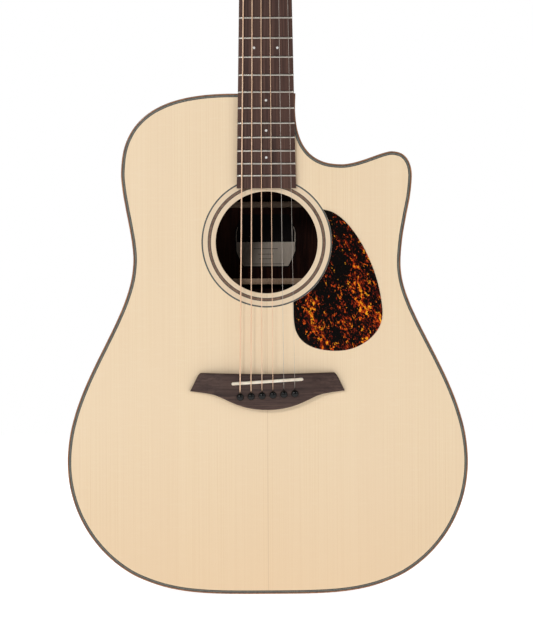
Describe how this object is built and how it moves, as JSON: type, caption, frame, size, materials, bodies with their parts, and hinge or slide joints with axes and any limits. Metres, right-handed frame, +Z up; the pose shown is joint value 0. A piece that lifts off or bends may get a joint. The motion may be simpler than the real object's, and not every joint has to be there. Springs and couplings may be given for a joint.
{
  "type": "acoustic guitar",
  "caption": "Steel-string acoustic guitar with a rounded cutaway, spruce top, dark sides, pinned bridge, geared tuners and strings held taut from bridge to headstock.",
  "frame": {"origin": "the nut's lower edge on the centreline, in the plane of the soundboard's face", "axes": "+Z up the neck to the headstock, +X to the treble side, -Y out of the soundboard towards the player"},
  "size_m": [0.407, 0.1299, 1.0465],
  "materials": {
    "spruce": "thin clear gloss",
    "rosewood": "gloss",
    "fingerboard_wood": "oiled satin",
    "bridge_wood": "oiled satin",
    "mahogany": "satin",
    "brace_spruce": "bare planed wood",
    "maple": "bare planed wood",
    "binding_wood": "gloss",
    "purfling": "gloss, layered light and dark lines",
    "ring_wood": "gloss inlay",
    "tortoise": "gloss, mottled amber and black",
    "bone": "polished bone",
    "black_plastic": "moulded gloss",
    "chrome": "polished plate",
    "steel": "plain drawn steel",
    "bronze": "wound phosphor bronze"
  },
  "bodies": {
    "guitar": {"soundboard": "spruce", "rosette_ring": "ring_wood", "rosette_line": "purfling", "top_purfling": "purfling", "top_binding": "binding_wood", "side_bass": "rosewood", "side_treble": "rosewood", "back_panel": "rosewood", "back_binding": "binding_wood", "neck_block": "mahogany", "tail_block": "mahogany", "x_brace_bass": "brace_spruce", "x_brace_treble": "brace_spruce", "upper_brace": "brace_spruce", "back_brace_1": "brace_spruce", "back_brace_2": "brace_spruce", "back_brace_3": "brace_spruce", "back_brace_4": "brace_spruce", "bridge_plate": "maple", "pickguard": "tortoise", "neck": "mahogany", "fingerboard": "fingerboard_wood", "heel_cap": "rosewood", "nut": "bone", "truss_rod": "steel", "headplate": "rosewood", "truss_cover": "black_plastic", "bridge": "bridge_wood", "saddle": "bone", "string_1": "steel", "tuner_housing_1": "chrome", "string_2": "steel", "tuner_housing_2": "chrome", "string_3": "bronze", "tuner_housing_3": "chrome", "string_4": "bronze", "tuner_housing_4": "chrome", "string_5": "bronze", "tuner_housing_5": "chrome", "string_6": "bronze", "tuner_housing_6": "chrome"},
    "knob_1": {"tuner_knob_1": "chrome"},
    "post_1": {"tuner_post_1": "chrome"},
    "knob_2": {"tuner_knob_2": "chrome"},
    "post_2": {"tuner_post_2": "chrome"},
    "knob_3": {"tuner_knob_3": "chrome"},
    "post_3": {"tuner_post_3": "chrome"},
    "knob_4": {"tuner_knob_4": "chrome"},
    "post_4": {"tuner_post_4": "chrome"},
    "knob_5": {"tuner_knob_5": "chrome"},
    "post_5": {"tuner_post_5": "chrome"},
    "knob_6": {"tuner_knob_6": "chrome"},
    "post_6": {"tuner_post_6": "chrome"},
    "pin_1": {"bridge_pin_1": "black_plastic"},
    "pin_2": {"bridge_pin_2": "black_plastic"},
    "pin_3": {"bridge_pin_3": "black_plastic"},
    "pin_4": {"bridge_pin_4": "black_plastic"},
    "pin_5": {"bridge_pin_5": "black_plastic"},
    "pin_6": {"bridge_pin_6": "black_plastic"},
    "truss_nut_body": {"truss_nut": "steel"}
  },
  "joints": [
    {"name": "tuner_1_knob_turn", "type": "hinge", "parent": "guitar", "child": "knob_1", "pos_m": [0.021, 0.02925, 0.0479], "axis": [1, 0, 0], "continuous": true},
    {"name": "tuner_1_post_turn", "type": "hinge", "parent": "guitar", "child": "post_1", "pos_m": [0.021, 0.02763, 0.0414], "axis": [0, -0.9703, 0.2419], "continuous": true},
    {"name": "tuner_2_knob_turn", "type": "hinge", "parent": "guitar", "child": "knob_2", "pos_m": [0.0232, 0.03941, 0.08865], "axis": [1, 0, 0], "continuous": true},
    {"name": "tuner_2_post_turn", "type": "hinge", "parent": "guitar", "child": "post_2", "pos_m": [0.0232, 0.03779, 0.08215], "axis": [0, -0.9703, 0.2419], "continuous": true},
    {"name": "tuner_3_knob_turn", "type": "hinge", "parent": "guitar", "child": "knob_3", "pos_m": [0.0254, 0.04957, 0.1294], "axis": [1, 0, 0], "continuous": true},
    {"name": "tuner_3_post_turn", "type": "hinge", "parent": "guitar", "child": "post_3", "pos_m": [0.0254, 0.04795, 0.1229], "axis": [0, -0.9703, 0.2419], "continuous": true},
    {"name": "tuner_4_knob_turn", "type": "hinge", "parent": "guitar", "child": "knob_4", "pos_m": [-0.0254, 0.04957, 0.1294], "axis": [1, 0, 0], "continuous": true},
    {"name": "tuner_4_post_turn", "type": "hinge", "parent": "guitar", "child": "post_4", "pos_m": [-0.0254, 0.04795, 0.1229], "axis": [0, -0.9703, 0.2419], "continuous": true},
    {"name": "tuner_5_knob_turn", "type": "hinge", "parent": "guitar", "child": "knob_5", "pos_m": [-0.0232, 0.03941, 0.08865], "axis": [1, 0, 0], "continuous": true},
    {"name": "tuner_5_post_turn", "type": "hinge", "parent": "guitar", "child": "post_5", "pos_m": [-0.0232, 0.03779, 0.08215], "axis": [0, -0.9703, 0.2419], "continuous": true},
    {"name": "tuner_6_knob_turn", "type": "hinge", "parent": "guitar", "child": "knob_6", "pos_m": [-0.021, 0.02925, 0.0479], "axis": [1, 0, 0], "continuous": true},
    {"name": "tuner_6_post_turn", "type": "hinge", "parent": "guitar", "child": "post_6", "pos_m": [-0.021, 0.02763, 0.0414], "axis": [0, -0.9703, 0.2419], "continuous": true},
    {"name": "bridge_pin_1_pull", "type": "slide", "parent": "guitar", "child": "pin_1", "axis": [0, -1, 0], "range_m": [0, 0.026]},
    {"name": "bridge_pin_2_pull", "type": "slide", "parent": "guitar", "child": "pin_2", "axis": [0, -1, 0], "range_m": [0, 0.026]},
    {"name": "bridge_pin_3_pull", "type": "slide", "parent": "guitar", "child": "pin_3", "axis": [0, -1, 0], "range_m": [0, 0.026]},
    {"name": "bridge_pin_4_pull", "type": "slide", "parent": "guitar", "child": "pin_4", "axis": [0, -1, 0], "range_m": [0, 0.026]},
    {"name": "bridge_pin_5_pull", "type": "slide", "parent": "guitar", "child": "pin_5", "axis": [0, -1, 0], "range_m": [0, 0.026]},
    {"name": "bridge_pin_6_pull", "type": "slide", "parent": "guitar", "child": "pin_6", "axis": [0, -1, 0], "range_m": [0, 0.026]},
    {"name": "truss_nut_turn", "type": "hinge", "parent": "guitar", "child": "truss_nut_body", "pos_m": [0, 0.0056, 0.0085], "axis": [0, 0, 1], "range_deg": [-180, 180]}
  ],
  "couplings": [
    {"joint": "tuner_1_post_turn", "follows": "tuner_1_knob_turn", "ratio": 0.083333},
    {"joint": "tuner_2_post_turn", "follows": "tuner_2_knob_turn", "ratio": 0.083333},
    {"joint": "tuner_3_post_turn", "follows": "tuner_3_knob_turn", "ratio": 0.083333},
    {"joint": "tuner_4_post_turn", "follows": "tuner_4_knob_turn", "ratio": 0.083333},
    {"joint": "tuner_5_post_turn", "follows": "tuner_5_knob_turn", "ratio": 0.083333},
    {"joint": "tuner_6_post_turn", "follows": "tuner_6_knob_turn", "ratio": 0.083333}
  ]
}
